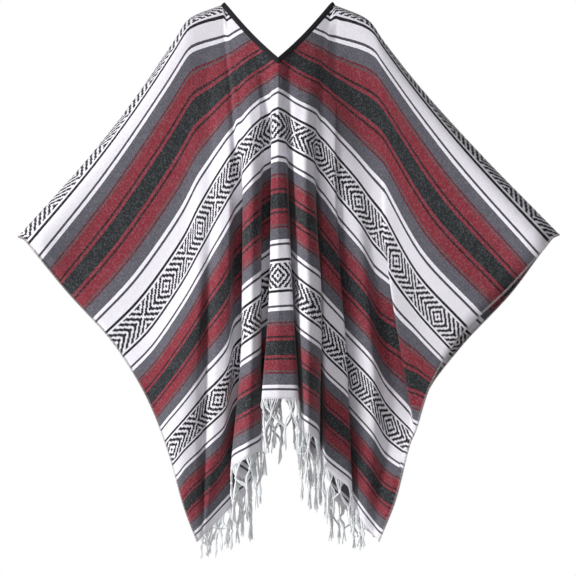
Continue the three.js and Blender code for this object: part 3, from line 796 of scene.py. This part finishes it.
fringe_white, fringe_shader, fringe_wire = new_material("fringe_white", 0.85, sheen=0.25)
fringe_noise = fringe_wire.node("ShaderNodeTexNoise", None, Scale=260.0, Detail=3.0)
white_yarn = fringe_wire.node("ShaderNodeRGB")
white_yarn.outputs[0].default_value = colour(244, 246, 248)
fringe_shade = out(white_yarn).mixed(out(fringe_noise) * 0.5, colour(222, 228, 231))
fringe_white.node_tree.links.new(fringe_shade.socket, fringe_shader.inputs["Base Color"])
strands = fringe_wire.node("ShaderNodeTexWave", {"wave_type": "BANDS", "bands_direction": "DIAGONAL"},
                           Scale=260.0, Distortion=3.0)
strand_bump = fringe_wire.node("ShaderNodeBump", None, Strength=0.5, Distance=0.0005, Height=out(strands, 1))
fringe_white.node_tree.links.new(strand_bump.outputs[0], fringe_shader.inputs["Normal"])

CORD_SIZES = {"Yarn": YARN_WIDTH, "Knot": KNOT_WIDTH}
cord_tree, entry, leave = node_group("fringe_cords", CORD_SIZES)
cord_path = entry["Geometry"].node("GeometryNodeMeshToCurve", None, Mesh=entry["Geometry"])
section = entry["Geometry"].node("GeometryNodeCurvePrimitiveCircle", {"mode": "RADIUS"}, Resolution=5,
                                 Radius=entry["Yarn"] * 0.5)
cords = entry["Geometry"].node("GeometryNodeCurveToMesh", None, Curve=out(cord_path),
                               Profile_Curve=out(section), Fill_Caps=True)
is_knot = entry["Geometry"].node("GeometryNodeInputNamedAttribute", {"data_type": "FLOAT"}, Name="knot")
knot_spots = entry["Geometry"].node("GeometryNodeMeshToPoints", {"mode": "VERTICES"},
                                    Mesh=entry["Geometry"], Selection=out(is_knot).above(0.5))
knot = entry["Geometry"].node("GeometryNodeMeshIcoSphere", None, Radius=entry["Knot"] * 0.5, Subdivisions=2)
turn = entry["Geometry"].node("FunctionNodeRandomValue", {"data_type": "FLOAT_VECTOR"}, Seed=3)
turn.inputs[1].default_value = (6.28, 6.28, 6.28)
squeeze = entry["Geometry"].node("FunctionNodeRandomValue", {"data_type": "FLOAT_VECTOR"}, Seed=4)
squeeze.inputs[0].default_value = (0.7, 0.7, 0.8)
squeeze.inputs[1].default_value = (1.0, 1.0, 1.25)
knots = entry["Geometry"].node("GeometryNodeInstanceOnPoints", None, Points=out(knot_spots),
                               Instance=out(knot), Rotation=out(turn), Scale=out(squeeze))
real = entry["Geometry"].node("GeometryNodeRealizeInstances", None, Geometry=out(knots))
joined = entry["Geometry"].node("GeometryNodeJoinGeometry", None, Geometry=out(cords))
cord_tree.links.new(real.outputs[0], joined.inputs[0])
smooth = entry["Geometry"].node("GeometryNodeSetShadeSmooth", None, Geometry=out(joined))
dressed = entry["Geometry"].node("GeometryNodeSetMaterial", None, Geometry=out(smooth),
                                 Material=fringe_white)
cord_tree.links.new(dressed.outputs[0], leave.inputs[0])


def fringe_of(face, grid):
    """The fringe of one hem: polylines for its yarns, with knots marked, grown into cords."""
    hem = grid[:, -1]
    left, right = hem[0, 0], hem[-1, 0]
    count = int((right - left) / BUNDLE_PITCH)
    out_way = -1 if face == "front" else 1

    def hang(u, drop, sway=(0.0, 0.0)):
        to_corner = np.clip((abs(u) / right - CORNER_START) / CORNER_RUN, 0, 1)
        drop = drop * (1 - (1 - CORNER_SHARE) * to_corner)
        place = [np.interp(u, hem[:, 0], hem[:, axis]) for axis in (2, 3, 4)]
        return (place[0] + sway[0], place[1] + sway[1] + out_way * LEAN_OUT * drop / SECOND_KNOT,
                place[2] - drop)

    points, links, marks = [], [], []
    first = []
    second = []
    centres = left + BUNDLE_PITCH * (np.arange(count) + 0.5 + random.uniform(-0.2, 0.2, count))
    for centre in centres:
        first.append((centre, FIRST_KNOT * random.uniform(0.75, 1.2), random.uniform(-0.003, 0.003, 2)))
    for number in range(count + 1):
        middle = left + BUNDLE_PITCH * number
        if number == 0:
            middle = centres[0]
        elif number == count:
            middle = centres[-1]
        second.append((middle, SECOND_KNOT * random.uniform(0.82, 1.12), random.uniform(-0.005, 0.005, 2)))
    for place in first + second[1:-1]:
        marks.append(len(points))
        points.append(hang(*place))
    for number, centre in enumerate(centres):
        for yarn in range(YARNS):
            spread = (yarn + 0.5) / YARNS - 0.5
            root = centre + spread * BUNDLE_PITCH * 0.9
            to_right = yarn >= YARNS / 2
            target = second[number + 1 if to_right else number]
            wobble = random.uniform(-YARN_WOBBLE, YARN_WOBBLE, (3, 2))
            loose = random.uniform(-TAIL_STRAY, TAIL_STRAY, 2)
            length = target[1] + TAIL * random.uniform(0.55, 1.25)
            upper = hang((root + centre) / 2, first[number][1] * 0.5, wobble[0] * 1.6)
            knot_a = hang(first[number][0], first[number][1], first[number][2] + wobble[0] * 0.4)
            between = hang((centre + target[0]) / 2 + spread * 0.006, (first[number][1] + target[1]) / 2,
                           first[number][2] + wobble[1] * 2)
            knot_b = hang(target[0], target[1], target[2] + wobble[1] * 0.4)
            tail_mid = hang(target[0] + spread * 0.004, (target[1] + length) / 2, target[2] + loose * 0.5)
            tail_end = hang(target[0] + spread * 0.006, length, target[2] + loose)
            route = smooth_curve(np.arange(7), [hang(root, -0.002), upper, knot_a, between, knot_b,
                                                tail_mid, tail_end])(np.linspace(0, 6, 16))
            start_at = len(points)
            points.extend(route.tolist())
            links += [(i, i + 1) for i in range(start_at, len(points) - 1)]
    mesh = bpy.data.meshes.new(face + "_fringe_yarn")
    mesh.from_pydata(points, links, [])
    knot_mark = mesh.attributes.new("knot", "FLOAT", "POINT")
    knot_mark.data.foreach_set("value", np.isin(np.arange(len(points)), marks).astype(np.float32))
    thing = bpy.data.objects.new(face + "_fringe_yarn", mesh)
    bpy.context.scene.collection.objects.link(thing)
    return grown(thing, cord_tree, CORD_SIZES)


for face, grid in (("front", front_grid), ("back", back_grid)):
    fringe = fringe_of(face, grid)
    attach(fringe, "root")
    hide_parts(face + "_fringe")
